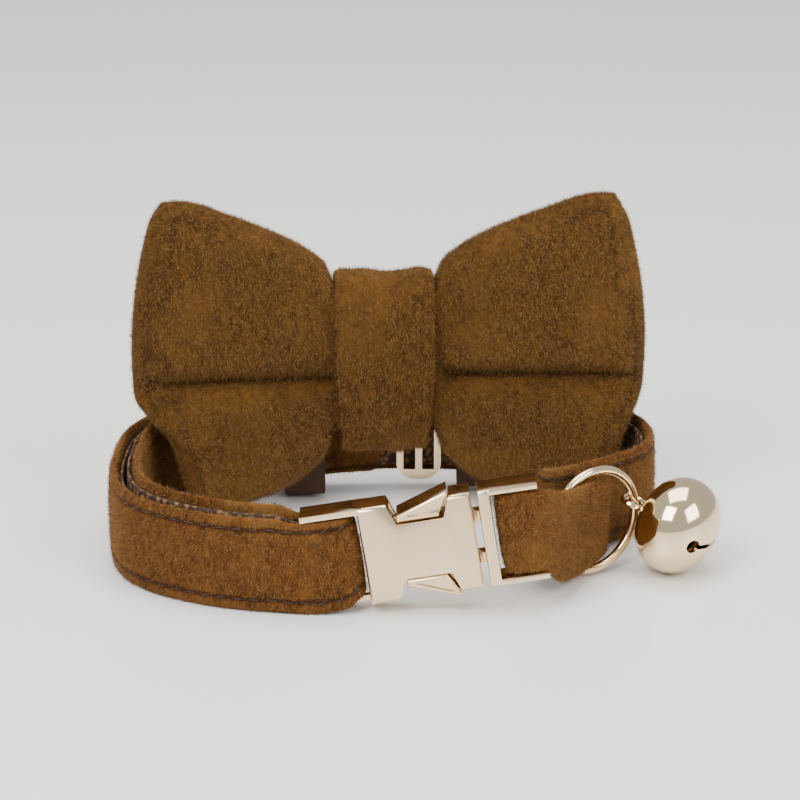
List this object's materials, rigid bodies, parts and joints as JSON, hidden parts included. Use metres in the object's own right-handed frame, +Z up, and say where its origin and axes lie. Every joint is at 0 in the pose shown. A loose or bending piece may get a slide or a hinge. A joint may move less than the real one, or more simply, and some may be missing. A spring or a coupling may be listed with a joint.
{
  "type": "pet bow tie collar",
  "caption": "Narrow velvet pet collar closed in a loop, with a metal side-release buckle, a leash ring, a round slotted bell and a large padded bow tie at the back.",
  "frame": {"origin": "centre of the whole collar's plan, on the plane it stands on", "axes": "+Z up, -Y towards the buckle, +Y towards the bow tie, +X towards the leash ring and bell"},
  "size_m": [0.116, 0.0744, 0.0642],
  "materials": {
    "velvet": "matte",
    "webbing": "matte",
    "elastic": "matte",
    "gold_metal": "polished"
  },
  "bodies": {
    "root": {"strap_velvet": "velvet", "ring_tab": "velvet", "bow_body": "velvet", "bow_knot": "velvet", "strap_webbing": "webbing", "bow_loop_left": "elastic", "bow_loop_right": "elastic", "buckle_female": "gold_metal", "buckle_male": "gold_metal", "lever_upper": "gold_metal", "lever_lower": "gold_metal", "leash_ring": "gold_metal", "bell": "gold_metal", "slider": "gold_metal"}
  },
  "joints": []
}
